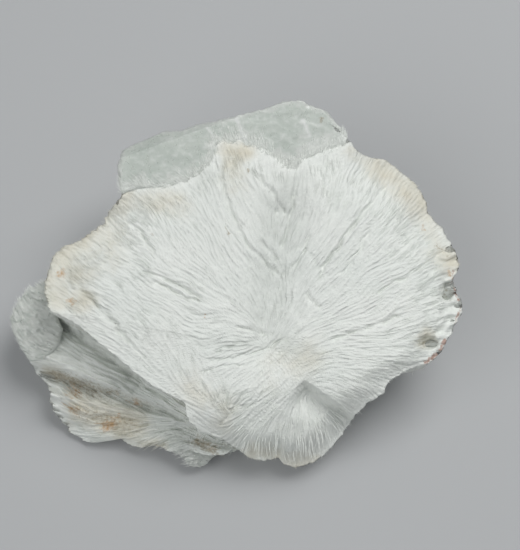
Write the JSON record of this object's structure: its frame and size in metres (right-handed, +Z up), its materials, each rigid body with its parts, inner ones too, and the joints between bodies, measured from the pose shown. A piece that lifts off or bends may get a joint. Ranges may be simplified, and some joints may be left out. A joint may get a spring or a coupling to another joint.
{
  "type": "laumontite with fluorapophyllite mineral specimen",
  "caption": "Hand specimen of white fibrous laumontite, broken across its radiating sprays, with glassy pale green fluorapophyllite along the back edge, at one corner and under the front edge",
  "frame": {"origin": "bottom centre of the bounding box, on the flat broken base that the specimen rests on", "axes": "+X to the right along the specimen's long side, +Y to the back, where the slab is and the broken face is highest, +Z up; the broken face looks up and leans towards -Y"},
  "size_m": [0.0928, 0.0696, 0.0394],
  "materials": {
    "laumontite": "dull to silky white fibres with cream and rust-brown stains",
    "fluorapophyllite": "glassy to pearly, milky and see-through at thin edges, pale grey-green"
  },
  "bodies": {
    "root": {"laumontite": "laumontite", "fluorapophyllite_slab": "fluorapophyllite", "fluorapophyllite_corner": "fluorapophyllite", "fluorapophyllite_foot": "fluorapophyllite"}
  },
  "joints": []
}
